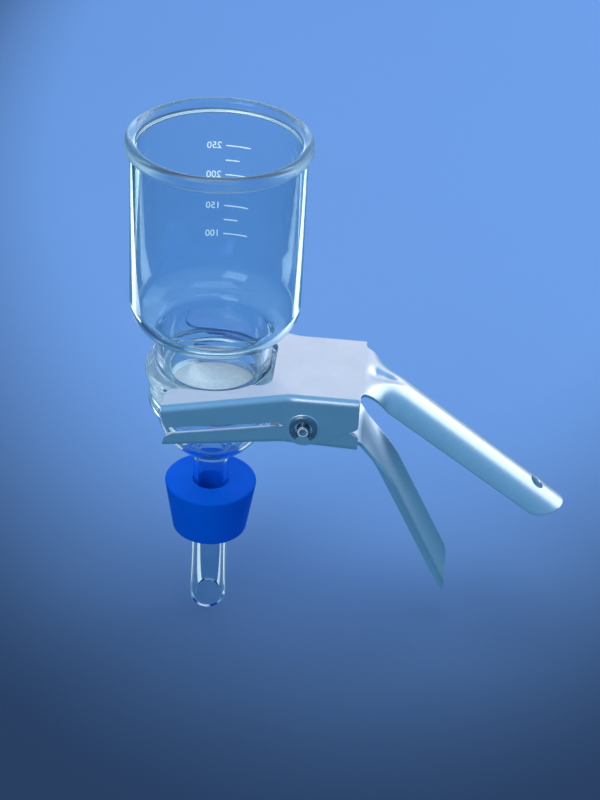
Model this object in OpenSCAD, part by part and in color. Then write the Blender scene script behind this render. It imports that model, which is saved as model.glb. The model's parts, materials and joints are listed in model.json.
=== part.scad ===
// Vacuum filtration unit: a glass funnel and a fritted filter base,
// held together by a sprung sheet-metal clamp, on a one-hole stopper.
// Millimetres. The glass axis is Z, and the clamp reaches out along +X.
// The origin is on the glass axis, halfway up the stopper, where a flask's mouth grips it.

/* [Funnel] */
// Outer diameter of the funnel's body
body_d = 72.6; // [70:0.2:75]
// Thickness of the blown glass walls
glass_t = 2.2; // [1.8:0.1:2.4]
// Height of the rim's centre above the ground joint
funnel_h = 116.5; // [105:0.5:130]
// Outer radius of the shoulder between body and neck
shoulder_r = 13; // [10:0.5:15]
// How far the rim's bead stands out from the body
bead_out = 2.3; // [1.5:0.1:3]

/* [Filter base] */
// Outer diameter of the neck under the funnel's body
neck_d = 50; // [48:0.5:51]
// Outer diameter of the funnel's foot flange
flange_d = 59; // [57:0.5:60]
// Outer diameter of the base's flange and of the ground faces
ground_d = 55.8; // [55:0.2:56]
// Thickness of the base's flange
base_flange_t = 7.6; // [6.5:0.1:7.8]
// Outer radius of the bowl under the base's flange
bowl_r = 24.5; // [23:0.5:24.8]
// Outer diameter of the stem
stem_d = 16; // [14:0.5:17]
// Length of the stem below the stopper
stem_drop = 42.5; // [35:0.5:60]
// Slope of the stem's bevelled drip tip
tip_slope = 22.5; // [0:0.5:30]
// Diameter of the sintered disc
frit_d = 39; // [36:0.5:40]
// Thickness of the sintered disc
frit_t = 3.5; // [2.5:0.1:4]

/* [Stopper] */
// Diameter of the stopper's upper face
stopper_top_d = 41; // [39:0.5:43]
// Diameter of the stopper's lower face
stopper_low_d = 33; // [31:0.5:34]
// Height of the stopper
stopper_h = 25; // [23:0.5:27]

/* [Clamp] */
// Thickness of the jaws' sheet
sheet_t = 1.6; // [1.4:0.1:1.8]
// Distance from the glass axis to the pivot pin
pivot_x = 41.6; // [40:0.2:44]
// Outer width of the upper jaw across its pivot ears
jaw_w = 52; // [51:0.2:54]
// Distance from the glass axis to the tips of the prongs
prong_reach = 17.3; // [14:0.1:18]
// Width of the handles
grip_w = 26.6; // [24:0.2:28]
// Depth of the upper handle's channel
upper_grip_h = 8; // [6:0.25:8.5]
// Depth of the lower handle's channel
lower_grip_h = 6.2; // [5:0.1:7]
// Length of the upper handle from its bend to its tip
upper_grip_l = 100; // [80:1:110]
// Length of the lower handle from its bend to its tip
lower_grip_l = 96; // [75:1:100]
// Slope of the upper handle below the level
upper_slope = 36.3; // [33:0.1:40]
// Slope of the lower handle below the lower jaw's plate
lower_slope = 61; // [58:0.5:63]
// Diameter of the hanging hole in the upper handle
hang_d = 6.5; // [4:0.5:7]

/* [Hidden] */
$fn = 96;

// Levels
stopper_top_z = stopper_h / 2;
joint_z = 62;                         // the ground faces meet here
flange_top_z = joint_z + 12.4;
rim_z = joint_z + funnel_h;
tip_z = -stopper_h / 2 - stem_drop;   // lowest point of the stem
plate_z = flange_top_z + sheet_t;     // top of the upper jaw's plate
pivot_z = plate_z - 15.2;

// Funnel and base
body_r = body_d / 2;
neck_r = neck_d / 2;
ground_r = ground_d / 2;
flange_r = flange_d / 2;
bore_r = frit_d / 2 - 0.5;            // opening through the funnel's foot
stem_r = stem_d / 2;
shoulder_z = flange_top_z + 18 + shoulder_r;
bowl_z = joint_z - base_flange_t - 2.3;
bead_r = (glass_t + bead_out) / 2 - 0.05;
bead_lift = 0.9;                      // half of the bead's straight height

// Jaws
fork_r = neck_r + 1;                  // both forks clear the neck and the bowl by this much
fork_back = fork_r + 0.5;             // the fork's straight inner end
fork_half = 18.7;
fork_corner = 6.5;
prong_corner = 6;
bend_r = 3;                           // outer radius of the folded edges
jaw_back = 64.8;                      // rear end of the side flanges
flange_drop = 9.8;                    // depth of the upper jaw's flanges at the prongs' tips
lower_w = jaw_w - 2 * sheet_t - 0.6;  // the lower jaw nests inside the upper one
lower_rise = 6.6;                     // height of the lower jaw's flanges
lower_tilt = 2;                       // the lower jaw closes towards its prongs
lower_z = joint_z - base_flange_t - sheet_t - 0.3 - prong_reach * tan(lower_tilt);
root_half = 18.3;                     // half width of the blank where a handle starts
upper_bend_r = 34.5;
lower_bend_r = 8;
ear_r = 8.6;
pin_r = 2.65;
boss_r = 7.2;
boss_h = 0.3;
clip_r = 6;
clip_t = 0.9;
clip_y = jaw_w / 2 + boss_h + 0.05;
groove_r = 2.1;
pin_half = clip_y + clip_t + 1.7;

// Spring
wire_r = 1.1;
coil_r = 5;
coil_turns = 6;
coil_pitch = 2 * wire_r + 0.15;
leg_x = 17;                           // the legs press on the jaws this far behind the pin

// Points on an arc from angle a0 to a1, ends included
function arc(c, r, a0, a1, n = 8) =
    [for (i = [0 : n]) let(a = a0 + (a1 - a0) * i / n) [c[0] + r * cos(a), c[1] + r * sin(a)]];

// Centre of a fillet between an upright wall at radius w and a ball of radius r centred at c above
function fillet_centre(w, c, r, f) =
    [w + f, c[1] - sqrt(pow(r + f, 2) - pow(w + f - c[0], 2))];

// Arc that rounds the corner at b, on the way from a to c
function corner(a, b, c, r, n = 5) =
    let(u = unit(a - b), v = unit(c - b), half = acos(u * v) / 2,
        m = b + unit(u + v) * r / sin(half), a0 = toward(m, b + u * r / tan(half)),
        turn = toward(m, b + v * r / tan(half)) - a0)
    arc(m, r, a0, a0 + turn - 360 * round(turn / 360), n);

function toward(a, b) = atan2(b[1] - a[1], b[0] - a[0]);
function unit(v) = v / norm(v);
function flip(points) = [for (i = [len(points) - 1 : -1 : 0]) points[i]];
function across_y(points) = [for (p = points) len(p) == 2 ? [p[0], -p[1]] : [p[0], -p[1], p[2]]];
function ease(t) = let(u = max(0, min(1, t))) u * u * (3 - 2 * u);

// ---- Glass ----

module funnel() {
    shoulder = [body_r - shoulder_r, shoulder_z];
    under = fillet_centre(neck_r, shoulder, shoulder_r, 3);
    bead_low = [body_r + bead_out - bead_r, rim_z - bead_lift];
    bead_high = [bead_low[0], rim_z + bead_lift];
    bead_root = fillet_centre(body_r, bead_low, bead_r, 1);
    edge = 1.5;
    ledge_z = joint_z + 11;
    profile = concat(
        [[bore_r, joint_z], [ground_r - 0.3, joint_z], [ground_r, joint_z + 0.3]],
        [[ground_r, joint_z + 6.8]],
        arc([flange_r - edge, joint_z + 6.8 + edge], edge, -90, 0, 5),
        arc([flange_r - edge, flange_top_z - edge], edge, 0, 90, 5),
        arc([neck_r + 0.8, flange_top_z + 0.8], 0.8, 270, 180, 4),
        arc(under, 3, 180, toward(under, shoulder), 5),
        arc(shoulder, shoulder_r, toward(shoulder, under), 0, 12),
        arc(bead_root, 1, 180, toward(bead_root, bead_low), 3),
        arc(bead_low, bead_r, toward(bead_low, bead_root), 0, 5),
        arc(bead_high, bead_r, 0, 180, 10),
        [[body_r - glass_t, bead_low[1]]],
        arc(shoulder, shoulder_r - glass_t, 0, toward(shoulder, under), 12),
        arc(under, 3 + glass_t, toward(under, shoulder), 180, 5),
        arc([neck_r - glass_t - edge, ledge_z + edge], edge, 0, -90, 5),
        arc([bore_r + edge, ledge_z - edge], edge, 90, 180, 5)
    );
    color([0.72, 0.84, 0.9, 0.45]) rotate_extrude() polygon(profile);
}

module filter_base() {
    bowl = [0, bowl_z];
    collar = fillet_centre(stem_r, bowl, bowl_r, 5);
    under_z = joint_z - base_flange_t;
    seat_z = joint_z - frit_t;
    lip_z = seat_z - 2;
    inner_r = bowl_r - glass_t;
    profile = concat(
        [[frit_d / 2, joint_z], [frit_d / 2, seat_z], [frit_d / 2 - 1.5, seat_z]],
        [[frit_d / 2 - 1.5, lip_z], [sqrt(pow(inner_r, 2) - pow(lip_z - bowl_z, 2)), lip_z]],
        arc(bowl, inner_r, 0, toward(bowl, collar), 12),
        arc(collar, 5 + glass_t, toward(collar, bowl), 180, 6),
        [[stem_r - glass_t, tip_z], [stem_r, tip_z]],
        arc(collar, 5, 180, toward(collar, bowl), 6),
        arc(bowl, bowl_r, toward(bowl, collar), 0, 12),
        arc([bowl_r + 1, under_z - 1], 1, 180, 90, 4),
        arc([ground_r - 1, under_z + 1], 1, -90, 0, 4),
        [[ground_r, joint_z - 0.3], [ground_r - 0.3, joint_z]]
    );
    color([0.72, 0.84, 0.9, 0.45]) difference() {
        rotate_extrude() polygon(profile);
        // the bevel's lowest point is on the -Y side
        translate([0, -stem_r, tip_z]) rotate([tip_slope, 0, 0])
            translate([-stem_d, -stem_d, -stem_d]) cube([2 * stem_d, 3 * stem_d, stem_d]);
    }
}

module fritted_disc() {
    color("whitesmoke") translate([0, 0, joint_z - frit_t]) cylinder(d = frit_d, h = frit_t);
}

module stopper() {
    top_r = stopper_top_d / 2;
    low_r = stopper_low_d / 2;
    edge = 0.6;
    half = stopper_h / 2;
    color([0, 0.25, 0.9]) rotate_extrude() polygon([
        [stem_r, -half], [low_r - edge, -half], [low_r + 0.1, edge - half],
        [top_r - 0.1, half - edge], [top_r - edge, half], [stem_r, half]
    ]);
}

// ---- Clamp: folded sheet ----

// Half of a tray's section at a station: the outer face or the inner one, from the flange's edge up
// to the plate. at is the outer face's place in plan, and across the way inwards from it.
function fold(at, across, inner) =
    let(r = bend_r - (inner ? sheet_t : 0), centre = [bend_r, -bend_r])
    [for (q = concat([[bend_r - r, -26]], arc(centre, r, 180, 90, 6)))
        [at[0] + across[0] * q[0], at[1] + across[1] * q[0], q[1]]];

function tray_ring(at, across) =
    let(outer = fold(at, across, false), inner = fold(at, across, true))
    concat(outer, flip(across_y(outer)), across_y(inner), flip(inner));

// Folded sheet with its plate's outer face at z = 0: flared prongs, a knee and a straight rear
module folded_sheet(half_w, knee_x, flare) {
    knee = [knee_x, -half_w];
    way = [cos(flare), sin(flare)];
    tip = knee - way * (knee_x + prong_reach + 6) / cos(flare);
    skin([
        tray_ring(tip, [-way[1], way[0]]),
        tray_ring(knee, [-tan(flare / 2), 1]),
        tray_ring([jaw_back, -half_w], [0, 1])
    ]);
}

// The fork's opening: round at the glass, straight at its inner end, with a rounded mouth
module fork_slot() {
    mouth = [prong_corner - prong_reach, -fork_r - prong_corner];
    near = concat(
        [[-prong_reach - 7, mouth[1]]],
        arc(mouth, prong_corner, 180, 90, 6),
        arc([0, 0], fork_r, -90, -asin(fork_half / fork_r), 10),
        arc([fork_back - fork_corner, fork_corner - fork_half], fork_corner, -90, 0, 6)
    );
    polygon(concat(near, flip(across_y(near))));
}

// Side view of a flange with its pivot ear: front edge, fillet, ear, straight rear, rounded corner
module flange_side(pivot, ear, front_x, drop, front_r, rear_drop, rear_r) {
    fillet = 3;
    front = [front_x, -drop];
    edge_z = -drop - 0.045 * (pivot[0] - front_x);
    dz = edge_z - fillet - pivot[1];
    meet = [pivot[0] - sqrt(pow(ear + fillet, 2) - dz * dz), edge_z - fillet];
    rear = [jaw_back, -rear_drop];
    lift = toward(pivot, rear) - acos(ear / norm(rear - pivot));
    polygon(concat(
        [[jaw_back, 1], [-prong_reach, 1], [-prong_reach, -sheet_t]],
        corner([-prong_reach, -sheet_t], front, [meet[0], edge_z], front_r),
        arc(meet, fillet, 90, toward(meet, pivot), 5),
        arc(pivot, ear, (toward(pivot, meet) + 360) % 360, lift + 360, 16),
        corner(pivot + ear * [cos(lift), sin(lift)], rear, [jaw_back, 0], rear_r)
    ));
}

// A jaw's fork, trimmed to the side view given as its child, with the pivot's bores. The plate
// itself ends at neck, ahead of the flanges, and its handle starts there. Each ear has a shallow
// boss of height boss round its bore.
module fork(half_w, knee_x, flare, pivot, neck, boss) {
    difference() {
        union() {
            intersection() {
                folded_sheet(half_w, knee_x, flare);
                rotate([90, 0, 0]) translate([0, 0, -60]) linear_extrude(120) children();
            }
            if (boss > 0) for (side = [-1, 1]) translate([pivot[0], side * half_w, pivot[1]])
                rotate([90, 0, 0]) cylinder(r = boss_r, h = 2 * boss, center = true);
        }
        translate([0, 0, -5]) linear_extrude(10) fork_slot();
        translate([neck, -root_half - 1.6, -5]) cube([10, 2 * root_half + 3.2, 10]);
        translate([pivot[0], 0, pivot[1]]) rotate([90, 0, 0])
            translate([0, 0, -60]) cylinder(r = pin_r + 0.05, h = 120);
    }
}

// ---- Clamp: pressed handles ----

// Section across a handle: [across, depth] points, first the convex face, then the hollow one
function channel(a, h, n = 14) =
    h < 0.001
    ? concat([for (i = [0 : n]) [a * (2 * i / n - 1), 0]],
             [for (i = [n : -1 : 0]) [a * (2 * i / n - 1), sheet_t]])
    : let(r = (a * a + h * h) / (2 * h), span = 2 * atan2(h, a))
      concat([for (i = [0 : n]) let(p = span * (2 * i / n - 1)) [r * sin(p), r * (1 - cos(p))]],
             [for (i = [n : -1 : 0]) let(p = span * (2 * i / n - 1))
                 [(r - sheet_t) * sin(p), r - (r - sheet_t) * cos(p)]]);

// The handle's spine at length s, as [x, z, slope]: round the bend, then straight on
function spine(s, bend, slope) =
    let(turn = bend * abs(slope) * PI / 180, a = min(s / turn, 1) * slope, rest = max(0, s - turn))
    [bend * sin(abs(a)) + rest * cos(a), -sign(slope) * bend * (1 - cos(a)) - rest * sin(a), a];

// Length along the spine of a handle that measures l from its bend's corner to its tip
function spine_length(l, bend, slope) = l + bend * (abs(slope) * PI / 180 - tan(abs(slope) / 2));

// Half width of a handle's channel at length s, wider by taper at the root than at the tip
function channel_half(s, l, taper) =
    let(r = grip_w / 2, past = max(0, s - (l - r)) / r)
    past > 0 ? r * sqrt(max(0, 1 - past * past)) : r + taper * (1 - s / (l - r));

// Half width of a handle at length s: a filleted wide root, then the channel
function grip_half(s, l, form, taper) =
    let(a = channel_half(s, l, taper), fillet = 2.5, short = max(0, fillet - s))
    s > form ? a
             : a + (root_half - a) * (1 - ease(s / form)) + fillet - sqrt(fillet * fillet - short * short);

// Depth of a handle's channel at length s, h deep where it is grip_w wide. Its rounding is full
// from length sink to the tip.
function grip_sag(s, l, h, sink, taper) =
    let(full = grip_w / 2, r = (full * full + h * h) / (2 * h),
        a = min(channel_half(s, l, taper), 0.98 * r))
    (r - sqrt(r * r - a * a)) * ease(s / sink);

// Lengths along a handle where a section stands, closer together at both ends
function stations(l, form, sink) =
    concat([0, 0.5], [for (i = [1 : 9]) form * i / 9],
           [for (s = [form : 12 : max(sink, l / 2)]) if (s > form) s],
           [for (i = [0 : 8]) l - grip_w / 2 * (1 - sin(90 * i / 8.12))]);

// Closed solid through equal sections, each a ring of points in space
module skin(rings) {
    m = len(rings[0]);
    last = (len(rings) - 1) * m;
    sides = [for (a = [0 : m : last - m], i = [0 : m - 1]) let(j = (i + 1) % m)
        each [[a + i, a + m + j, a + m + i], [a + i, a + j, a + m + j]]];
    ends = [for (i = [0 : m / 2 - 2]) let(j = m - 1 - i) each [
        [i, j - 1, i + 1], [i, j, j - 1],
        [last + i, last + i + 1, last + j - 1], [last + i, last + j - 1, last + j]]];
    polyhedron([for (r = rings) each r], concat(sides, ends));
}

// Handle from the plate's rear end at x = 0, with its convex face up. A drop-shaped valley of depth
// dent is pressed into its bend.
module grip(length, bend, slope, form, h, sink, taper = 0, dent = 0) {
    l = spine_length(length, bend, slope);
    skin([for (s = stations(l, form, sink))
        let(p = spine(s, bend, slope), a = grip_half(s, l, form, taper))
        [for (q = channel(a, grip_sag(s, l, h, sink, taper)))
            let(d = q[1] + dent * ease(s / 4) * ease(1.5 - s / 12) * pow(2, -pow(q[0] / 4, 2)))
            [p[0] - d * sin(p[2]), q[0], p[1] - d * cos(p[2])]]]);
}

module upper_jaw() {
    pivot = [pivot_x, pivot_z - plate_z];
    hang = spine_length(upper_grip_l, upper_bend_r, upper_slope) - 15.2;
    eye = spine(hang, upper_bend_r, upper_slope);
    color("silver") translate([0, 0, plate_z]) {
        fork(jaw_w / 2, 35, 17.9, pivot, jaw_back, boss_h)
            flange_side(pivot, ear_r, 2.5 - prong_reach, flange_drop, 1.2, 13.8, 2.5);
        difference() {
            translate([jaw_back, 0, 0])
                grip(upper_grip_l, upper_bend_r, upper_slope, 15, upper_grip_h, 18, 0.7, 1.1);
            translate([jaw_back + eye[0], 0, eye[1]]) rotate([0, eye[2], 0])
                translate([0, 0, -5]) cylinder(d = hang_d, h = 10);
        }
    }
}

// The lower jaw's pivot in its own frame, before it is tilted and turned over
function lower_pivot() =
    let(dz = pivot_z - lower_z)
    [pivot_x * cos(lower_tilt) - dz * sin(lower_tilt), -pivot_x * sin(lower_tilt) - dz * cos(lower_tilt)];

module lower_jaw() {
    pivot = lower_pivot();
    neck = 57.8;
    color("silver") translate([0, 0, lower_z]) rotate([0, lower_tilt, 0]) rotate([180, 0, 0]) {
        fork(lower_w / 2, 32.5, 14.1, pivot, neck, 0)
            flange_side(pivot, ear_r - 0.6, 1 - prong_reach, lower_rise, 3.5, 7.7, 3.5);
        translate([neck, 0, 0])
            grip(lower_grip_l, lower_bend_r, -lower_slope, 10, lower_grip_h, 35);
    }
}

// ---- Pivot ----

module pivot_pin() {
    edge = 0.5;
    half = [[0, pin_half], [pin_r - edge, pin_half], [pin_r, pin_half - edge]];
    groove = [[pin_r, clip_y + clip_t + 0.05], [groove_r, clip_y + clip_t + 0.05],
              [groove_r, clip_y - 0.05], [pin_r, clip_y - 0.05]];
    upper = concat(half, groove);
    color("dimgray") translate([pivot_x, 0, pivot_z]) rotate([90, 0, 0])
        rotate_extrude() polygon(concat(upper, [for (i = [len(upper) - 1 : -1 : 0])
            [upper[i][0], -upper[i][1]]]));
}

// E-clip, open downwards: a ring with three lugs that reach into the pin's groove
module e_clip(y) {
    color([0.2, 0.22, 0.25]) translate([pivot_x, y, pivot_z]) rotate([90, 0, 0])
        linear_extrude(clip_t) difference() {
            union() {
                difference() {
                    circle(clip_r);
                    circle(3.9);
                }
                for (a = [90, 205, 335]) rotate(a) translate([groove_r - 0.4, -0.9]) square([3, 1.8]);
            }
            circle(groove_r);
            polygon([[0, 0], [-6, -9], [6, -9]]);
        }
}

module retaining_clip_near() {
    e_clip(-clip_y);
}

module retaining_clip_far() {
    e_clip(clip_y + clip_t);
}

// ---- Spring ----

// A ring of points round the wire at p, square to the unit direction t, with up to one side
function wire_ring(p, t, side, n = 10) =
    let(up = cross(side, t))
    [for (i = [0 : n - 1]) p + wire_r * (cos(360 * i / n) * side + sin(360 * i / n) * up)];

// Coil round the pin, with a leg behind it under each jaw
module torsion_spring() {
    high = plate_z - sheet_t - wire_r - 0.1 - pivot_z;
    low = lower_z - (pivot_x + leg_x) * tan(lower_tilt) + sheet_t + wire_r + 0.15 - pivot_z;
    up_leg = [leg_x, high];
    low_leg = [leg_x, low];
    a0 = toward([0, 0], up_leg) + acos(coil_r / norm(up_leg));
    a1 = toward([0, 0], low_leg) - acos(coil_r / norm(low_leg)) + 360 * coil_turns;
    steps = round((a1 - a0) / 22.5);
    half = coil_pitch * (a1 - a0) / 720;
    rings = concat(
        [let(d = unit([-sin(a0), cos(a0)])) wire_ring([up_leg[0], -half, up_leg[1]], [d[0], 0, d[1]],
            [cos(a0), 0, sin(a0)])],
        [for (i = [0 : steps]) let(a = a0 + (a1 - a0) * i / steps)
            wire_ring([coil_r * cos(a), -half + 2 * half * i / steps, coil_r * sin(a)],
                [-sin(a), 0, cos(a)], [cos(a), 0, sin(a)])],
        [wire_ring([low_leg[0], half, low_leg[1]], [-sin(a1), 0, cos(a1)], [cos(a1), 0, sin(a1)])]
    );
    color("gray") translate([pivot_x, 0, pivot_z]) skin(rings);
}

funnel();
filter_base();
fritted_disc();
stopper();
upper_jaw();
lower_jaw();
pivot_pin();
retaining_clip_near();
retaining_clip_far();
torsion_spring();
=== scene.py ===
"""Looks for a vacuum filtration unit: glass funnel and fritted base in a sprung sheet clamp."""

import json
import math

import bmesh
import bpy
from bpy.props import FloatProperty, FloatVectorProperty, PointerProperty
from mathutils import Matrix, Vector


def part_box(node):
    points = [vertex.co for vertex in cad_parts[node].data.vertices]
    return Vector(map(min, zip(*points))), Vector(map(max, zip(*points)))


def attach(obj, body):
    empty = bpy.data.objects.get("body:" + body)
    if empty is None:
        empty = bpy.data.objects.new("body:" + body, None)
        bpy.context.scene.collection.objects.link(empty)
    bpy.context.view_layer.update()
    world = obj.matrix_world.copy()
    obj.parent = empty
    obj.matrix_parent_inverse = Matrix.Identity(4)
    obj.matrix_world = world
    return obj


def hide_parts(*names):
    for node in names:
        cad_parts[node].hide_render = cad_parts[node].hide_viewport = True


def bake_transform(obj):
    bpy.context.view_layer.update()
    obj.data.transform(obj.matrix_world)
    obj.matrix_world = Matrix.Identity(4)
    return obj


bl_info = {
    "name": "Vacuum Filtration Unit",
    "version": (1, 0, 0),
    "blender": (4, 5, 0),
    "location": "View3D > Sidebar > Filtration",
    "description": "Builds the visible pieces of a clamped glass filtration unit round its frame",
    "category": "Object",
}

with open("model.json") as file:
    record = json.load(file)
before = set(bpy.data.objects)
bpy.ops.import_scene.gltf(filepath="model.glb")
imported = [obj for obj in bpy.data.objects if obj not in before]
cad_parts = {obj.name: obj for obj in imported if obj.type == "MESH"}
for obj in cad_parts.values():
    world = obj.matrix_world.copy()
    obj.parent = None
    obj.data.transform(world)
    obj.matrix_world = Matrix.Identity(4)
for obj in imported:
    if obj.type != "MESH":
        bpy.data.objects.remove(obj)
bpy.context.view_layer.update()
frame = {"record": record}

# Sizes of the pieces are in millimetres, and of the stage in metres.
MM = 0.001
joints = frame["record"]["behaviour"]["joints"]
HINGE = Vector(next(joint["pos_m"] for joint in joints if joint["name"] == "jaw_hinge"))


def mm_box(node):
    """The corners of a frame node, in millimetres."""
    low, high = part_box(node)
    return Vector(low) / MM, Vector(high) / MM


FUNNEL_LOW, FUNNEL_HIGH = mm_box("funnel")
BASE_LOW, BASE_HIGH = mm_box("filter_base")
FRIT_LOW, FRIT_HIGH = mm_box("fritted_disc")
STOPPER_LOW, STOPPER_HIGH = mm_box("stopper")
PIN_HIGH = mm_box("pivot_pin")[1]
UPPER_HIGH = mm_box("upper_jaw")[1]
JOINT_Z = FUNNEL_LOW.z
STEM_TIP_Z = BASE_LOW.z
HINGE_X, HINGE_Z = HINGE.x / MM, HINGE.z / MM


# ---- Sizes and colours a user would change ----


class GlassSettings(bpy.types.PropertyGroup):
    """Sizes and colour of the blown glass."""

    wall: FloatProperty(
        name="Wall", description="Thickness of the glass walls, in millimetres",
        default=2.2, min=1.6, max=2.6)
    shoulder: FloatProperty(
        name="Shoulder", description="Outer radius of the funnel's shoulder, in millimetres",
        default=13.0, min=10.0, max=15.0)
    tint: FloatVectorProperty(
        name="Tint", description="Colour of the glass",
        default=(0.74, 0.87, 0.91), subtype="COLOR", size=3, min=0.0, max=1.0)
    enamel: FloatVectorProperty(
        name="Enamel", description="Colour of the printed scale",
        default=(0.93, 0.95, 0.97), subtype="COLOR", size=3, min=0.0, max=1.0)
    frit: FloatVectorProperty(
        name="Fritted disc", description="Colour of the sintered glass",
        default=(0.76, 0.76, 0.83), subtype="COLOR", size=3, min=0.0, max=1.0)


class ClampSettings(bpy.types.PropertyGroup):
    """Sizes and colours of the clamp."""

    sheet: FloatProperty(
        name="Sheet", description="Thickness of the jaws' sheet, in millimetres",
        default=1.6, min=1.2, max=2.0)
    edge: FloatProperty(
        name="Edge rounding", description="Radius on the sheet's tumbled edges, in millimetres",
        default=0.3, min=0.1, max=0.6)
    aluminium: FloatVectorProperty(
        name="Jaws", description="Colour of the satin aluminium",
        default=(0.83, 0.85, 0.87), subtype="COLOR", size=3, min=0.0, max=1.0)
    steel: FloatVectorProperty(
        name="Pin", description="Colour of the turned steel",
        default=(0.36, 0.40, 0.44), subtype="COLOR", size=3, min=0.0, max=1.0)
    dark_steel: FloatVectorProperty(
        name="Clips and spring", description="Colour of the dark spring steel",
        default=(0.18, 0.21, 0.24), subtype="COLOR", size=3, min=0.0, max=1.0)


class StopperSettings(bpy.types.PropertyGroup):
    """Size and colour of the stopper."""

    edge: FloatProperty(
        name="Edge rounding", description="Radius on the stopper's moulded edges, in millimetres",
        default=0.9, min=0.3, max=2.0)
    silicone: FloatVectorProperty(
        name="Silicone", description="Colour of the stopper",
        default=(0.0, 0.155, 1.0), subtype="COLOR", size=3, min=0.0, max=1.0)


class StageSettings(bpy.types.PropertyGroup):
    """Floor and camera."""

    backdrop: FloatVectorProperty(
        name="Floor", description="Colour of the floor round the unit",
        default=(0.178, 0.372, 0.775), subtype="COLOR", size=3, min=0.0, max=1.0)
    # Painted falloff: the floor fades to this dark colour away from the unit, standing in for less
    # light there.
    dusk: FloatVectorProperty(
        name="Far floor", description="Colour of the floor away from it",
        default=(0.024, 0.055, 0.125), subtype="COLOR", size=3, min=0.0, max=1.0)
    lens: FloatProperty(
        name="Lens", description="The camera's focal length, in millimetres",
        default=96.75, min=20.0, max=300.0)
    elevation: FloatProperty(
        name="Elevation", description="The camera's height above the horizon", subtype="ANGLE",
        default=math.radians(33.33), min=0.0, max=math.radians(89.0))
    azimuth: FloatProperty(
        name="Azimuth", description="The camera's turn round the unit", subtype="ANGLE",
        default=math.radians(3.34))
    roll: FloatProperty(
        name="Roll", description="The camera's roll", subtype="ANGLE",
        default=math.radians(3.05))
    distance: FloatProperty(
        name="Distance", description="From the camera to the point it looks at", subtype="DISTANCE",
        unit="LENGTH", default=0.936, min=0.3, max=3.0)


def chosen(group):
    """The settings of stage, glass, stopper or clamp."""
    return getattr(bpy.context.scene, "filtration_" + group)


# ---- Shapes ----


def ease(t):
    """0 up to 1 as t goes from 0 to 1, with soft ends."""
    u = max(0.0, min(1.0, t))
    return u * u * (3 - 2 * u)


def toward(a, b):
    """The direction from a to b, in degrees."""
    return math.degrees(math.atan2(b[1] - a[1], b[0] - a[0]))


def arc(centre, radius, start, end, steps):
    """Points on an arc from angle start to angle end, both in degrees and both included."""
    points = []
    for i in range(steps + 1):
        a = math.radians(start + (end - start) * i / steps)
        points.append((centre[0] + radius * math.cos(a), centre[1] + radius * math.sin(a)))
    return points


def fillet_centre(wall, centre, radius, fillet):
    """Centre of a fillet between an upright wall at radius wall and the ball above it."""
    return (wall + fillet,
            centre[1] - math.sqrt((radius + fillet) ** 2 - (wall + fillet - centre[0]) ** 2))


def corner(a, b, c, radius, steps=8):
    """The arc that rounds the corner at b, on the way from a to c."""
    a, b, c = Vector(a), Vector(b), Vector(c)
    u, v = (a - b).normalized(), (c - b).normalized()
    half = math.acos(max(-1.0, min(1.0, u.dot(v)))) / 2
    middle = b + (u + v).normalized() * radius / math.sin(half)
    start = toward(middle, b + u * radius / math.tan(half))
    turn = toward(middle, b + v * radius / math.tan(half)) - start
    return arc(middle, radius, start, start + turn - 360 * round(turn / 360), steps)


def clean(points, gap=0.01):
    """The points without those that repeat their neighbour."""
    kept = []
    for p in points:
        if not kept or math.dist(p, kept[-1]) > gap:
            kept.append(p)
    if math.dist(kept[0], kept[-1]) <= gap:
        kept.pop()
    return kept


def add_piece(name, mesh, materials, body="unit", stands_for=()):
    """Puts a mesh in the scene as a piece, which rides on a body when one is given."""
    old = bpy.data.objects.get(name)
    if old:
        bpy.data.objects.remove(old)
    piece = bpy.data.objects.new(name, mesh)
    bpy.context.scene.collection.objects.link(piece)
    for material in materials:
        mesh.materials.append(material)
    if body:
        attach(piece, body)
    if stands_for:
        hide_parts(*stands_for)
    return piece


def finished(shape, name, outward=True):
    """The mesh of a bmesh, with its faces turned outward."""
    if outward:
        bmesh.ops.recalc_face_normals(shape, faces=shape.faces)
    mesh = bpy.data.meshes.new(name)
    shape.to_mesh(mesh)
    shape.free()
    return mesh


def new_ring(shape, points):
    return [shape.verts.new(p) for p in points]


def skin(shape, rings):
    """Joins closed rings of as many points, each to the next."""
    for near, far in zip(rings, rings[1:]):
        for i in range(len(near)):
            j = (i + 1) % len(near)
            shape.faces.new((near[i], near[j], far[j], far[i]))


def ring_edges(shape, ring):
    return [shape.edges.get((v, ring[(i + 1) % len(ring)])) for i, v in enumerate(ring)]


def smooth(mesh, angle=32.0):
    """Smooth shading that keeps the edges sharper than angle."""
    mesh.shade_smooth()
    mesh.set_sharp_from_angle(angle=math.radians(angle))


def lathe(name, profile, segments=192, finish=None, angle=32.0, tilt=None):
    """Turns a closed profile of (radius, height) points round Z into a mesh. finish gives a face's
    material number from its profile points. Points on the axis are joined into one."""
    shape = bmesh.new()
    turns = [2 * math.pi * i / segments for i in range(segments)]
    rings = []
    for r, z in profile:
        spots = [(r * MM * math.cos(a), r * MM * math.sin(a), z * MM) for a in turns]
        rings.append(new_ring(shape, spots if r > 1e-6 else [(0, 0, z * MM)]))
    for k, ring in enumerate(rings):
        after = rings[(k + 1) % len(rings)]
        number = finish(profile[k], profile[(k + 1) % len(rings)]) if finish else 0
        for i in range(segments):
            j = (i + 1) % segments
            quad = [ring[i % len(ring)], ring[j % len(ring)],
                    after[j % len(after)], after[i % len(after)]]
            quad = [v for n, v in enumerate(quad) if v not in quad[:n]]
            if len(quad) > 2:
                shape.faces.new(quad).material_index = number
    if tilt:
        for v in shape.verts:
            v.co = tilt(v.co)
    mesh = finished(shape, name)
    smooth(mesh, angle)
    return mesh


# ---- Node building ----


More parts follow.
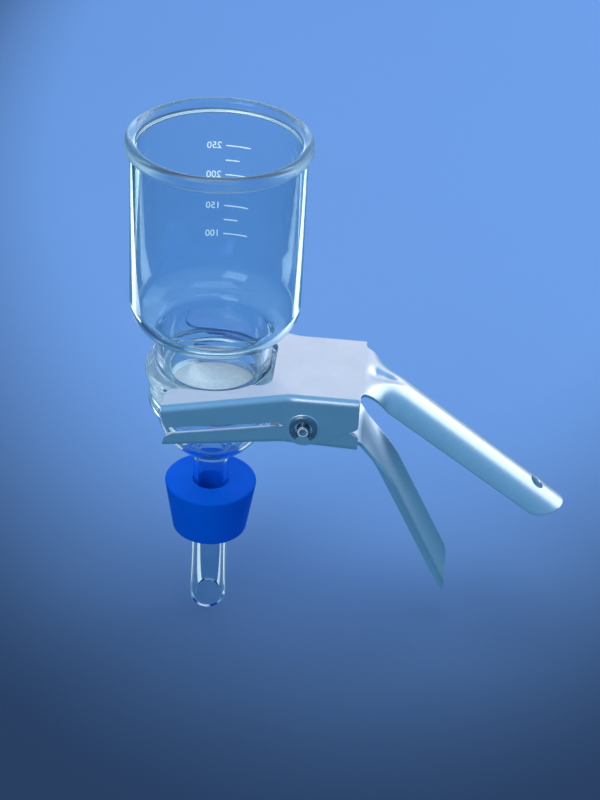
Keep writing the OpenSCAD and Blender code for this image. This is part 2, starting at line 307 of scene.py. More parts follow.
class Graph:
    """Adds and joins the nodes of one tree."""

    def __init__(self, tree):
        self.tree = tree

    def add(self, kind, values=None, **settings):
        """A node with its settings, and with values or links for its inputs."""
        node = self.tree.nodes.new(kind)
        for key, value in settings.items():
            setattr(node, key, value)
        self.fill(node, values or {})
        return node

    def feed(self, socket, value):
        if isinstance(value, bpy.types.NodeSocket):
            self.tree.links.new(value, socket)
        elif isinstance(value, (tuple, list, Vector)) and len(value) == 3 and socket.type == "RGBA":
            socket.default_value = (*value, 1.0)
        else:
            socket.default_value = value

    def fill(self, node, values):
        for key, value in values.items():
            self.feed(node.inputs[key], value)

    def scaled(self, source, low, high, to_low=0.0, to_high=1.0, curve="LINEAR"):
        """source moved from the range low to high into to_low to to_high, and kept in it."""
        return self.add("ShaderNodeMapRange", {
            "Value": source, "From Min": low, "From Max": high,
            "To Min": to_low, "To Max": to_high}, interpolation_type=curve).outputs["Result"]

    def noise(self, place, scale, detail=2.0, rough=0.5):
        return self.add("ShaderNodeTexNoise", {
            "Vector": place, "Scale": scale, "Detail": detail, "Roughness": rough}).outputs["Fac"]

    def blend(self, amount, a, b):
        """Colour a, and b where amount is 1."""
        return self.add("ShaderNodeMix", {
            "Factor": amount, 6: a, 7: b}, data_type="RGBA").outputs[2]

    def maths(self, operation, a, b=0.0):
        return self.add("ShaderNodeMath", {0: a, 1: b}, operation=operation).outputs[0]

    def weighed(self, a, a_part, b, b_part):
        """The sum of two masks, each times its part."""
        return self.maths("ADD", self.maths("MULTIPLY", a, a_part),
                          self.maths("MULTIPLY", b, b_part))

    def place(self, stretch=(1.0, 1.0, 1.0)):
        """The point on the piece, in metres, stretched for streaks."""
        texture = self.add("ShaderNodeTexCoord")
        return self.add("ShaderNodeMapping", {
            "Vector": texture.outputs["Object"], "Scale": stretch}).outputs["Vector"]

    def emission(self, colour, strength=1.0):
        return self.add("ShaderNodeEmission", {
            "Color": colour, "Strength": strength}).outputs["Emission"]

    def effect(self, group, **values):
        """Places an effect's node group and gives back its outputs. Patch_Scale=2.0 sets the input
        Patch Scale."""
        node = self.add("ShaderNodeGroup", node_tree=group)
        self.fill(node, {label.replace("_", " "): value for label, value in values.items()})
        return node.outputs


def effect_group(name, inputs, outputs, build):
    """A node group made once. Its inputs are Place and the numbers in inputs with their defaults,
    and its outputs are numbers."""
    group = bpy.data.node_groups.get(name)
    if group:
        return group
    group = bpy.data.node_groups.new(name, "ShaderNodeTree")
    new_socket = group.interface.new_socket
    new_socket("Place", in_out="INPUT", socket_type="NodeSocketVector")
    for label, default in inputs.items():
        socket = new_socket(label, in_out="INPUT", socket_type="NodeSocketFloat")
        socket.default_value = default
    for label in outputs:
        new_socket(label, in_out="OUTPUT", socket_type="NodeSocketFloat")
    graph = Graph(group)
    source = graph.add("NodeGroupInput").outputs
    graph.fill(graph.add("NodeGroupOutput"), build(graph, source))
    return group


def handling_group():
    """Soft patches of wear and finger film, as a roughness and a mask."""

    def build(graph, source):
        broad = graph.noise(source["Place"], source["Patch Scale"], 3.0, 0.55)
        fine_scale = graph.maths("MULTIPLY", source["Patch Scale"], 9.0)
        fine = graph.noise(source["Place"], fine_scale, 4.0, 0.6)
        mixed = graph.weighed(broad, 0.7, fine, 0.3)
        mask = graph.scaled(mixed, 0.38, 0.66)
        spread = graph.maths("MULTIPLY", graph.maths("SUBTRACT", mask, 0.5), source["Spread"])
        return {"Mask": mask, "Roughness": graph.maths("ADD", source["Roughness"], spread)}

    return effect_group("Handling Film", {"Patch Scale": 60.0, "Roughness": 0.3, "Spread": 0.1},
                        ("Mask", "Roughness"), build)


def grain_group():
    """Fine grain as a height: tumbled metal, moulded rubber or sintered glass."""

    def build(graph, source):
        coarse = graph.noise(source["Place"], source["Grain Scale"], 3.0, 0.6)
        fine_scale = graph.maths("MULTIPLY", source["Grain Scale"], 3.1)
        fine = graph.noise(source["Place"], fine_scale, 2.0, 0.5)
        height = graph.weighed(coarse, 0.65, fine, 0.35)
        return {"Height": height, "Speckle": graph.scaled(height, 0.35, 0.65)}

    return effect_group("Fine Grain", {"Grain Scale": 2500.0}, ("Height", "Speckle"), build)


def worn_edge_group():
    """A mask of the outward edges, where tumbling leaves the metal brighter."""

    def build(graph, source):
        sharp = graph.scaled(graph.add("ShaderNodeNewGeometry").outputs["Pointiness"], 0.51, 0.56)
        patches = graph.noise(source["Place"], source["Patch Scale"], 3.0)
        patchy = graph.scaled(patches, 0.3, 0.7, 0.5, 1.0)
        return {"Mask": graph.maths("MULTIPLY", sharp, patchy)}

    return effect_group("Worn Edge", {"Patch Scale": 300.0}, ("Mask",), build)


def start_material(name):
    """A fresh material with its graph, its Principled shader and its output."""
    old = bpy.data.materials.get(name)
    if old:
        bpy.data.materials.remove(old)
    material = bpy.data.materials.new(name)
    material.use_nodes = True
    material.node_tree.nodes.clear()
    graph = Graph(material.node_tree)
    shader = graph.add("ShaderNodeBsdfPrincipled")
    output = graph.add("ShaderNodeOutputMaterial", {"Surface": shader.outputs["BSDF"]})
    return material, graph, shader, output


def times(colour, factor):
    return tuple(min(1.0, c * factor) for c in colour)


def bump(graph, shader, height, strength, depth):
    """Relief of a depth in millimetres."""
    normal = graph.add("ShaderNodeBump", {
        "Height": height, "Strength": strength, "Distance": depth * MM})
    graph.feed(shader.inputs["Normal"], normal.outputs["Normal"])


BOROSILICATE_IOR = 1.474
TRAPPED_DEPTH = 6.5
CLEAR_SHADE = (0.92, 0.95, 0.97)
RIM_TINT = (0.52, 0.76, 0.90)
GROUND_TINT = (0.40, 0.64, 0.74)


def glass_material(name, roughness=0.0, waviness=0.06, film=0.0, tint=None):
    """Blown glass, deeper coloured along its edges, that lets the lamps through. Metal doesn't
    mirror it, and light that stays trapped in it is let out."""
    tint = tint or tuple(chosen("glass").tint)
    material, graph, shader, output = start_material(name)
    place = graph.place()
    marks = graph.effect(handling_group(), Place=place, Patch_Scale=45.0,
                         Roughness=roughness, Spread=film)
    ray = graph.add("ShaderNodeLightPath").outputs
    facing = graph.add("ShaderNodeLayerWeight", {"Blend": 0.5}).outputs["Facing"]
    body = graph.blend(marks["Mask"], tint, times(tint, 1.02))
    deep = tuple(c ** 3 for c in tint)
    graph.fill(shader, {
        "Base Color": graph.blend(graph.scaled(facing, 0.6, 0.9), body, deep),
        "Roughness": marks["Roughness"], "Transmission Weight": 1.0, "IOR": BOROSILICATE_IOR,
        "Metallic": 0.0})
    bump(graph, shader, graph.noise(graph.place((1.0, 1.0, 0.35)), 55.0, 1.0), 1.0, waviness)
    clear = graph.add("ShaderNodeBsdfTransparent", {"Color": CLEAR_SHADE})
    trapped = graph.maths("GREATER_THAN", ray["Ray Depth"], TRAPPED_DEPTH)
    off_metal = graph.maths("MULTIPLY", ray["Is Glossy Ray"],
                            graph.maths("LESS_THAN", ray["Transmission Depth"], 0.5))
    clearing = graph.maths("MAXIMUM", trapped, off_metal)
    through = graph.add("ShaderNodeMixShader", {
        0: graph.maths("MAXIMUM", ray["Is Shadow Ray"], clearing),
        1: shader.outputs["BSDF"], 2: clear.outputs["BSDF"]})
    graph.feed(output.inputs["Surface"], through.outputs["Shader"])
    return material


def ground_glass_material():
    """The lapped faces of the joint, fine grey frosting."""
    material = glass_material("Ground Glass", 0.42, 0.05, 0.12, GROUND_TINT)
    graph = Graph(material.node_tree)
    shader = next(n for n in graph.tree.nodes if n.type == "BSDF_PRINCIPLED")
    grain = graph.effect(grain_group(), Place=graph.place(), Grain_Scale=4200.0)
    bump(graph, shader, grain["Height"], 0.5, 0.04)
    return material


def enamel_material():
    """Fired white enamel, slightly uneven where the screen laid it thin, with a painted glow that
    makes it shine as if lit from the front.
    """
    colour = tuple(chosen("glass").enamel)
    material, graph, shader, _ = start_material("White Enamel")
    grain = graph.effect(grain_group(), Place=graph.place(), Grain_Scale=3000.0)
    # Painted glow: the emission makes the enamel shine by itself, standing in for the light falling
    # on it.
    graph.fill(shader, {
        "Base Color": graph.blend(grain["Speckle"], times(colour, 0.93), colour),
        "Roughness": graph.scaled(grain["Speckle"], 0.0, 1.0, 0.4, 0.55),
        "Emission Color": colour, "Emission Strength": 0.5})
    bump(graph, shader, grain["Height"], 0.3, 0.02)
    return material


def sintered_material():
    """Sintered glass: pale grains with small grey pores."""
    colour = tuple(chosen("glass").frit)
    material, graph, shader, _ = start_material("Sintered Glass")
    place = graph.place()
    cells = graph.add("ShaderNodeTexVoronoi", {"Vector": place, "Scale": 1500.0})
    grain = graph.effect(grain_group(), Place=place, Grain_Scale=2600.0)
    pores = graph.maths("MULTIPLY", graph.scaled(cells.outputs["Distance"], 0.35, 0.75),
                        grain["Speckle"])
    graph.fill(shader, {
        "Base Color": graph.blend(pores, colour, times(colour, 0.72)),
        "Roughness": graph.scaled(grain["Speckle"], 0.0, 1.0, 0.55, 0.8),
        "Subsurface Weight": 0.25, "Subsurface Radius": (MM, MM, MM)})
    bump(graph, shader, graph.maths("SUBTRACT", grain["Height"], pores), 0.7, 0.12)
    return material


def silicone_material():
    """Moulded silicone: a saturated blue with a matt bloom in places."""
    colour = tuple(chosen("stopper").silicone)
    material, graph, shader, _ = start_material("Blue Silicone")
    place = graph.place()
    marks = graph.effect(handling_group(), Place=place, Patch_Scale=90.0, Roughness=0.5, Spread=0.1)
    grain = graph.effect(grain_group(), Place=place, Grain_Scale=1800.0)
    graph.fill(shader, {
        "Base Color": graph.blend(marks["Mask"], colour, times(colour, 0.93)),
        "Roughness": marks["Roughness"], "Specular IOR Level": 0.03})
    bump(graph, shader, grain["Height"], 0.35, 0.05)
    return material


# Name, roughness, its spread, the grain's scale and depth, and how much brighter the edges are.
METALS = {
    "aluminium": ("Satin Aluminium", 0.31, 0.03, 1400.0, 0.012, 1.06),
    "steel": ("Turned Steel", 0.27, 0.12, 1900.0, 0.03, 1.06),
    "dark_steel": ("Dark Spring Steel", 0.36, 0.14, 1700.0, 0.04, 2.2),
}
BEHIND_BOTH_WALLS = (0.24, 0.45, 0.86)


def metal_material(metal):
    """Tumbled or turned metal with handling film and brighter edges. Behind both walls of the
    funnel it takes the glass's blue."""
    name, roughness, spread, grain_scale, grain_depth, bright = METALS[metal]
    colour = tuple(getattr(chosen("clamp"), metal))
    material, graph, shader, _ = start_material(name)
    place = graph.place()
    marks = graph.effect(handling_group(), Place=place, Patch_Scale=70.0,
                         Roughness=roughness, Spread=spread)
    edges = graph.effect(worn_edge_group(), Place=place, Patch_Scale=260.0)
    grain = graph.effect(grain_group(), Place=place, Grain_Scale=grain_scale)
    body = graph.blend(edges["Mask"], graph.blend(marks["Mask"], colour, times(colour, 0.94)),
                       times(colour, bright))
    walls = graph.add("ShaderNodeLightPath").outputs["Transmission Depth"]
    veiled = tuple(c * veil for c, veil in zip(colour, BEHIND_BOTH_WALLS))
    graph.fill(shader, {
        "Base Color": graph.blend(graph.scaled(walls, 3.4, 3.6), body, veiled),
        "Roughness": marks["Roughness"], "Metallic": 1.0})
    bump(graph, shader, grain["Height"], 0.5, grain_depth)
    return material


# ---- Glass pieces ----

BODY_R = 36.3
NECK_R = 25.0
FLANGE_R = 29.5
FOOT_BORE_R = 19.0
GROUND_R = BASE_HIGH.x
FLANGE_TOP_Z = JOINT_Z + 12.4
BOWL_R = 24.5
STEM_R = 8.0
GROUND_GAP = 0.03
BASE_FLANGE_Z = JOINT_Z - 7.6
BEVEL_REACH = 12.0
BEVEL_ANGLE = 22.5
FLANGE_LOW_Z = JOINT_Z + 6.8
FLANGE_EDGE, GROUND_EDGE, FOOT_FILLET, NECK_ROOT = 1.5, 0.4, 0.6, 0.8
NECK_HIGH, NECK_FILLET = 18, 3
LEDGE_Z = JOINT_Z + 11
BEAD_STRAIGHT, BEAD_FILLET = 1.8, 1
BOWL_DROP, COLLAR_FILLET, SEAT_WIDTH, TIP_EDGE = 2.3, 5, 1.5, 0.4
ENAMEL_HALF = 0.03
ENAMEL_LIFT = 0.05
FIRST_TICK_Z, TICK_STEP_Z = 118.5, 6.885
LONG_TICK, SHORT_TICK, TICK_WIDTH = 11.1, 6.3, 0.55
DIGITS_HIGH, DIGIT_SHARE, DIGIT_BOLDER = 3.1, 0.7, 0.045
TICK_ANGLE, DIGITS_ANGLE = -1.8, -9.6


def funnel_profile():
    """The funnel in section: foot, flange, neck, shoulder, body and beaded rim."""
    glass = chosen("glass")
    wall, shoulder_r = glass.wall, glass.shoulder
    rim_r = FUNNEL_HIGH.x
    bead_r = (wall + rim_r - BODY_R) / 2 - 0.05
    bead_z = FUNNEL_HIGH.z - bead_r
    bead_low = (rim_r - bead_r, bead_z - BEAD_STRAIGHT)
    bead_high = (rim_r - bead_r, bead_z)
    shoulder = (BODY_R - shoulder_r, FLANGE_TOP_Z + NECK_HIGH + shoulder_r)
    under = fillet_centre(NECK_R, shoulder, shoulder_r, NECK_FILLET)
    bead_root = fillet_centre(BODY_R, bead_low, bead_r, BEAD_FILLET)
    foot_z = JOINT_Z + GROUND_GAP
    edge = FLANGE_EDGE
    return clean(
        [(FOOT_BORE_R + 0.3, foot_z), (GROUND_R - GROUND_EDGE, foot_z)]
        + arc((GROUND_R - GROUND_EDGE, foot_z + GROUND_EDGE), GROUND_EDGE, -90, 0, 4)
        + arc((GROUND_R + FOOT_FILLET, FLANGE_LOW_Z - FOOT_FILLET), FOOT_FILLET, 180, 90, 5)
        + arc((FLANGE_R - edge, FLANGE_LOW_Z + edge), edge, -90, 0, 12)
        + arc((FLANGE_R - edge, FLANGE_TOP_Z - edge), edge, 0, 90, 12)
        + arc((NECK_R + NECK_ROOT, FLANGE_TOP_Z + NECK_ROOT), NECK_ROOT, 270, 180, 8)
        + arc(under, NECK_FILLET, 180, toward(under, shoulder), 12)
        + arc(shoulder, shoulder_r, toward(shoulder, under), 0, 36)
        + arc(bead_root, BEAD_FILLET, 180, toward(bead_root, bead_low), 8)
        + arc(bead_low, bead_r, toward(bead_low, bead_root), 0, 12)
        + arc(bead_high, bead_r, 0, 180, 28)
        + [(BODY_R - wall, bead_low[1])]
        + arc(shoulder, shoulder_r - wall, 0, toward(shoulder, under), 36)
        + arc(under, NECK_FILLET + wall, toward(under, shoulder), 180, 12)
        + arc((NECK_R - wall - edge, LEDGE_Z + edge), edge, 0, -90, 10)
        + arc((FOOT_BORE_R + edge, LEDGE_Z - edge), edge, 90, 180, 10)
        + [(FOOT_BORE_R, foot_z + 0.3)])


def base_profile():
    """The base in section: disc's seat, bowl, stem and flange."""
    wall = chosen("glass").wall
    under_z = BASE_FLANGE_Z
    bowl = (0, under_z - BOWL_DROP)
    collar = fillet_centre(STEM_R, bowl, BOWL_R, COLLAR_FILLET)
    frit_r, seat_z = FRIT_HIGH.x, FRIT_LOW.z
    seat_r = frit_r - SEAT_WIDTH
    inner_r = BOWL_R - wall
    lip_z = seat_z - 2
    lip_r = math.sqrt(inner_r ** 2 - (lip_z - bowl[1]) ** 2)
    return clean(
        [(frit_r + 0.25, JOINT_Z), (frit_r, JOINT_Z - 0.25), (frit_r, seat_z),
         (seat_r, seat_z), (seat_r, lip_z + 0.5), (frit_r - 1.1, lip_z), (lip_r, lip_z)]
        + arc(bowl, inner_r, toward(bowl, (lip_r, lip_z)), toward(bowl, collar), 44)
        + arc(collar, COLLAR_FILLET + wall, toward(collar, bowl), 180, 14)
        + [(STEM_R - wall, STEM_TIP_Z + TIP_EDGE), (STEM_R - wall + TIP_EDGE, STEM_TIP_Z),
           (STEM_R - TIP_EDGE, STEM_TIP_Z), (STEM_R, STEM_TIP_Z + TIP_EDGE)]
        + arc(collar, COLLAR_FILLET, 180, toward(collar, bowl), 14)
        + arc(bowl, BOWL_R, toward(bowl, collar), 0, 44)
        + arc((BOWL_R + 1, under_z - 1), 1, 180, 90, 8)
        + arc((GROUND_R - 1, under_z + 1), 1, -90, 0, 8)
        + arc((GROUND_R - GROUND_EDGE, JOINT_Z - GROUND_EDGE), GROUND_EDGE, 0, 90, 4))


def glass_finish(a, b):
    """1 for the lapped faces of the joint, 2 for the rim's bead, and 0 for polished glass."""
    inner = min(a[0], b[0])
    if inner > BODY_R + 0.01:
        return 2
    level = abs(a[1] - b[1]) < 0.01 and abs(a[1] - JOINT_Z) < 0.1
    return 1 if level and inner > FOOT_BORE_R - 0.5 else 0


def bevel_tip(co):
    """Leans the stem's lower end to its drip bevel, with the lowest point towards -Y."""
    reach = co.z - STEM_TIP_Z * MM
    if reach > BEVEL_REACH * MM or co.xy.length > (STEM_R + 1) * MM:
        return co
    lift = (co.y + STEM_R * MM) * math.tan(math.radians(BEVEL_ANGLE))
    return Vector((co.x, co.y, co.z + lift * (1 - ease(reach / (BEVEL_REACH * MM)))))


def wrap_on_body(mesh, angle, z):
    """Lays a flat mesh, reading from behind, on the funnel's outer wall at the +Y side."""
    radius = (BODY_R + ENAMEL_LIFT) * MM
    for v in mesh.vertices:
        a = math.radians(angle) - v.co.x / radius
        r = radius + v.co.z
        v.co = (r * math.sin(a), r * math.cos(a), z * MM + v.co.y)


def digits_mesh(text, size):
    """Plain digits as a thin flat mesh, centred, with their height along Y."""
    curve = bpy.data.curves.new("digits", "FONT")
    curve.body = text
    curve.size = size * MM / DIGIT_SHARE
    curve.align_x = "CENTER"
    curve.align_y = "CENTER"
    curve.extrude = ENAMEL_HALF * MM
    curve.offset = DIGIT_BOLDER * MM
    curve.resolution_u = 6
    holder = bpy.data.objects.new("digits", curve)
    bpy.context.scene.collection.objects.link(holder)
    graph = bpy.context.evaluated_depsgraph_get()
    mesh = bpy.data.meshes.new_from_object(holder.evaluated_get(graph))
    bpy.data.objects.remove(holder)
    bpy.data.curves.remove(curve)
    return mesh


def tick_mesh(length, width):
    """A thin bar from the origin towards -X, with rounded ends, cut finely enough to be wrapped."""
    shape = bmesh.new()
    half = width / 2
    steps = 14
    upper = [(-half - (length - width) * i / steps, half) for i in range(steps + 1)]
    lower = [(x, -half) for x, _ in reversed(upper)]
    left = arc((-length + half, 0), half, 90, 270, 8)
    ring = clean(upper + left + lower + arc((-half, 0), half, -90, 90, 8), 0.001)
    low, high = [new_ring(shape, [(x * MM, y * MM, z * MM) for x, y in ring])
                 for z in (-ENAMEL_HALF, ENAMEL_HALF)]
    skin(shape, [low, high])
    shape.faces.new(high)
    shape.faces.new(low[::-1])
    bmesh.ops.recalc_face_normals(shape, faces=shape.faces)
    bmesh.ops.triangulate(shape, faces=[f for f in shape.faces if len(f.verts) > 4])
    return finished(shape, "tick", outward=False)


def joined(name, meshes):
    """One mesh out of several."""
    shape = bmesh.new()
    for mesh in meshes:
        shape.from_mesh(mesh)
        bpy.data.meshes.remove(mesh)
    return finished(shape, name, outward=False)


class FILTRATION_OT_funnel(bpy.types.Operator):
    """Turns the glass funnel with its beaded rim, shoulder and foot flange"""

    bl_idname = "filtration.funnel"
    bl_label = "Funnel"

    def execute(self, context):
        mesh = lathe("funnel_glass", funnel_profile(), finish=glass_finish)
        materials = [glass_material("Funnel Glass"), ground_glass_material(),
                     glass_material("Rim Glass", roughness=0.3, tint=RIM_TINT)]
        add_piece("funnel_glass", mesh, materials, stands_for=["funnel"])
        return {"FINISHED"}


class FILTRATION_OT_scale(bpy.types.Operator):
    """Prints the enamel scale on the back of the funnel"""

    bl_idname = "filtration.scale"
    bl_label = "Scale"

    def execute(self, context):
        meshes = []
        for i, volume in enumerate(range(100, 251, 25)):
            z = FIRST_TICK_Z + TICK_STEP_Z * i
            numbered = volume % 50 == 0
            tick = tick_mesh(LONG_TICK if numbered else SHORT_TICK, TICK_WIDTH)
            wrap_on_body(tick, TICK_ANGLE, z)
            meshes.append(tick)
            if numbered:
                digits = digits_mesh(str(volume), DIGITS_HIGH)
                wrap_on_body(digits, DIGITS_ANGLE, z)
                meshes.append(digits)
        whole = joined("scale_enamel", meshes)
        add_piece("scale_enamel", whole, [enamel_material()])
        return {"FINISHED"}


class FILTRATION_OT_filter_base(bpy.types.Operator):
    """Turns the glass base with its bowl, stem and drip tip, and lays in the fritted disc"""

    bl_idname = "filtration.filter_base"
    bl_label = "Filter base"

    def execute(self, context):
        mesh = lathe("base_glass", base_profile(), finish=glass_finish, tilt=bevel_tip)
        materials = [glass_material("Base Glass"),
                     bpy.data.materials.get("Ground Glass") or ground_glass_material()]
        add_piece("base_glass", mesh, materials, stands_for=["filter_base"])
        radius = FRIT_HIGH.x - 0.06
        low, high = FRIT_LOW.z + 0.05, FRIT_HIGH.z - 0.02
        edge = 0.3
        disc = lathe("sintered_disc", (
            [(0, low)] + arc((radius - edge, low + edge), edge, -90, 0, 4)
            + arc((radius - edge, high - edge), edge, 0, 90, 4) + [(0, high)]), 128)
        add_piece("sintered_disc", disc, [sintered_material()],
                  stands_for=["fritted_disc"])
        return {"FINISHED"}


STOPPER_TOP_R, STOPPER_LOW_R = 20.5, 16.5


class FILTRATION_OT_stopper(bpy.types.Operator):
    """Moulds the one-hole stopper"""

    bl_idname = "filtration.stopper"
    bl_label = "Stopper"

    def execute(self, context):
        edge = chosen("stopper").edge
        top_z, low_z = STOPPER_HIGH.z, STOPPER_LOW.z
        top, low = (STOPPER_TOP_R, top_z), (STOPPER_LOW_R, low_z)
        bore, bore_edge = STEM_R + 0.04, 0.4
        profile = clean(
            arc((bore + bore_edge, low_z + bore_edge), bore_edge, 180, 270, 5)
            + corner((bore, low_z), low, top, edge, 10)
            + corner(low, top, (bore, top_z), edge, 10)
            + arc((bore + bore_edge, top_z - bore_edge), bore_edge, 90, 180, 5))
        mesh = lathe("stopper_silicone", profile, 160, angle=50)
        add_piece("stopper_silicone", mesh, [silicone_material()],
                  stands_for=["stopper"])
        return {"FINISHED"}


# ---- Clamp: jaws folded and pressed from sheet ----

BEND_R = 3.0
PRONG_REACH = 17.3
JAW_BACK = 64.8
FORK_R = 26.0
FORK_BACK = 26.5
FORK_HALF = 18.7
FORK_CORNER = 6.5
PRONG_CORNER = 6.0
GRIP_HALF = 13.3
ROOT_HALF = 18.3
PIN_R = 2.65
QUARTER = math.pi / 2
FLAT_R = 1e4
PAST_ALL = 999
EDGE_STEP = 1.2
ROOT_STEP, GRIP_STEP = 0.6, 2.0
HANG_INSET = 15.2
SIDE_FALL = 0.045
STRIP = 0.9


class Jaw:
    """A jaw as a flat blank and the folds that shape it. On the blank, x runs from the prongs to
    the handle's tip, s is the way across the outer face, and t the depth below it."""

    def __init__(self, **sizes):
        self.__dict__.update(sizes)
        turn = math.radians(abs(self.slope))
        self.bent = self.bend * turn
        self.length = self.grip_length + self.bend * (turn - math.tan(turn / 2))
        self.full_r = (GRIP_HALF ** 2 + self.depth ** 2) / (2 * self.depth)

    def width(self, x):
        """Half the fork's width at x, and how much its section is drawn out by the flare."""
        soft = 2.0
        ahead = self.knee - x
        if abs(ahead) < soft:
            ramp = (ahead + soft) ** 2 / (4 * soft)
        else:
            ramp = max(0.0, ahead)
        flare = math.radians(self.flare)
        part = ease((ahead + soft) / (2 * soft))
        return self.half + math.tan(flare) * ramp, 1 + (1 / math.cos(flare) - 1) * part

    def flat(self, x):
        """How far the flat goes, from the middle to where a flange's bend starts."""
        half, stretch = self.width(x)
        return half - BEND_R * stretch

    def across(self, x, z):
        """The way across the blank to a point of a flange at x and height z."""
        if z > -BEND_R:
            return self.flat(x) + BEND_R * math.acos(max(-1.0, min(1.0, (z + BEND_R) / BEND_R)))
        return self.flat(x) + BEND_R * QUARTER - BEND_R - z

    def fold(self, x, s, t):
        """A fork's point, folded."""
        half, stretch = self.width(x)
        flat = half - BEND_R * stretch
        past = abs(s) - flat
        if past <= 0:
            return Vector((x, s, -t))
        turn = min(past / BEND_R, QUARTER)
        y = flat + stretch * (BEND_R - t) * math.sin(turn)
        z = (BEND_R - t) * math.cos(turn) - BEND_R - max(0.0, past - BEND_R * QUARTER)
        return Vector((x, math.copysign(y, s), z))

    def spine(self, length):
        """Where the handle's centre line is at a length along it, and its angle there."""
        turn = math.radians(self.slope) * min(length / self.bent, 1)
        rest = max(0.0, length - self.bent)
        fall = math.copysign(self.bend, self.slope) * (1 - math.cos(turn)) + rest * math.sin(turn)
        return self.bend * math.sin(abs(turn)) + rest * math.cos(turn), -fall, turn

    def channel_half(self, length):
        """Half the width of the plain channel, with its round end."""
        straight = self.length - GRIP_HALF
        past = (length - straight) / GRIP_HALF
        if past > 0:
            return GRIP_HALF * math.sqrt(max(0.0, 1 - past * past))
        return GRIP_HALF + self.taper * (1 - length / straight)

    def grip_half(self, length):
        """Half the handle's width: a filleted wide root, then the channel."""
        channel = self.channel_half(length)
        if length > self.form:
            return channel
        short = max(0.0, self.root_fillet - length)
        return (channel + (ROOT_HALF - channel) * (1 - ease(length / self.form))
                + self.root_fillet - math.sqrt(self.root_fillet ** 2 - short ** 2))

    def radius(self, length):
        """The channel's outer radius at a length along the handle."""
        if length > self.sink:
            return self.full_r
        channel = self.channel_half(length)
        full = self.full_r - math.sqrt(self.full_r ** 2 - channel ** 2)
        sag = max(1e-5, full * ease(length / self.sink))
        half = self.grip_half(length)
        return (half ** 2 + sag ** 2) / (2 * sag)

    def grip_reach(self, length):
        """The way across the outer face from the handle's centre line to its edge."""
        radius = self.radius(length)
        half = min(self.grip_half(length), radius)
        return radius * math.asin(half / radius) if radius < FLAT_R else half

    def grip(self, length, s, t):
        """A handle's point, pressed and bent."""
        radius = self.radius(length)
        if radius < FLAT_R:
            y = (radius - t) * math.sin(s / radius)
            deep = radius - (radius - t) * math.cos(s / radius)
        else:
            y, deep = s, t
        # The valley pressed in the root, which narrows and then fades along the handle.
        valley = 5.0 - 3.4 * ease(length / 18)
        deep += (self.dent * ease(length / 6) * ease(1.9 - length / 11)
                 * 2 ** -((y / valley) ** 2))
        px, pz, turn = self.spine(length)
        return Vector((self.neck + px - deep * math.sin(turn), y, pz - deep * math.cos(turn)))

    def shape(self, co):
        """A point of the blank where the folds and the press put it."""
        x, s, t = co
        if x > self.neck and abs(s) < self.handle_within:
            return self.grip(x - self.neck, s, t)
        return self.fold(x, s, t)

    def side_edge(self):
        """The flange's edge in the side view, from the prong's tip to the rear, as (x, z)."""
        fillet, tip_r = 3.0, 1.2
        front = (self.front_x, -self.drop)
        edge_z = -self.drop - SIDE_FALL * (self.pivot[0] - self.front_x)
        rise = edge_z - fillet - self.pivot[1]
        meet = (self.pivot[0] - math.sqrt((self.ear + fillet) ** 2 - rise ** 2), edge_z - fillet)
        rear = (JAW_BACK, -self.rear_drop)
        gap = math.dist(rear, self.pivot)
        lift = toward(self.pivot, rear) - math.degrees(math.acos(self.ear / gap))
        ear_start = toward(self.pivot, meet) % 360
        leave = (self.pivot[0] + self.ear * math.cos(math.radians(lift)),
                 self.pivot[1] + self.ear * math.sin(math.radians(lift)))
        tip = (-PRONG_REACH, -self.sheet)
        return (
            corner((-PRONG_REACH, 0), tip, front, tip_r)
            + corner(tip, front, (meet[0], edge_z), self.front_r)
            + arc(meet, fillet, 90, toward(meet, self.pivot), 8)
            + arc(self.pivot, self.ear, ear_start, lift + 360, 36)
            + corner(leave, rear, (JAW_BACK, 0), self.rear_r))

    def half_outline(self):
        """One half of the blank's outline, from the slot's root to the handle's tip."""
        slot = (
            [(FORK_BACK, i * (FORK_HALF - FORK_CORNER) / 6) for i in range(7)]
            + arc((FORK_BACK - FORK_CORNER, FORK_HALF - FORK_CORNER), FORK_CORNER, 0, 90, 14)
            + arc((0, 0), FORK_R, math.degrees(math.asin(FORK_HALF / FORK_R)), 90, 30)
            + arc((PRONG_CORNER - PRONG_REACH, FORK_R + PRONG_CORNER), PRONG_CORNER, -90, -180, 14))
        flange = [(-PRONG_REACH, self.flat(-PRONG_REACH))]
        side = self.side_edge()
        for (x0, z0), (x1, z1) in zip([(-PRONG_REACH, 0)] + side, side + [(JAW_BACK, 0)]):
            steps = max(1, round(math.dist((x0, z0), (x1, z1)) / EDGE_STEP))
            for i in range(1, steps + 1):
                x, z = x0 + (x1 - x0) * i / steps, z0 + (z1 - z0) * i / steps
                flange.append((x, self.across(x, z)))
        root = []
        start = 0.0
        if self.relief:
            inner = ROOT_HALF + self.relief
            r = self.relief / 2
            root = (corner((JAW_BACK, inner + 3), (JAW_BACK, inner), (self.neck, inner), 0.5, 4)
                    + arc((self.neck + 1.9, ROOT_HALF + r), r, 90, 270, 10))
            start = 2.2
        straight = self.length - GRIP_HALF
        stops = [start + i * ROOT_STEP for i in range(int((self.form - start) / ROOT_STEP) + 1)]
        stops += [self.form + i * GRIP_STEP
                  for i in range(int((straight - self.form) / GRIP_STEP) + 1)]
        stops += [self.length - GRIP_HALF * (1 - math.sin(math.radians(a * 90 / 30)))
                  for a in range(31)]
        handle = [(self.neck + length, self.grip_reach(length)) for length in stops]
        return clean(slot + flange + root + handle, 0.02)

    def outline(self):
        """The whole outline of the blank."""
        half = self.half_outline()
        if half[-1][1] < 0.02:
            half[-1] = (half[-1][0], 0.0)
        mirrored = [(x, -s) for x, s in reversed(half) if s > 1e-6]
        return half + mirrored

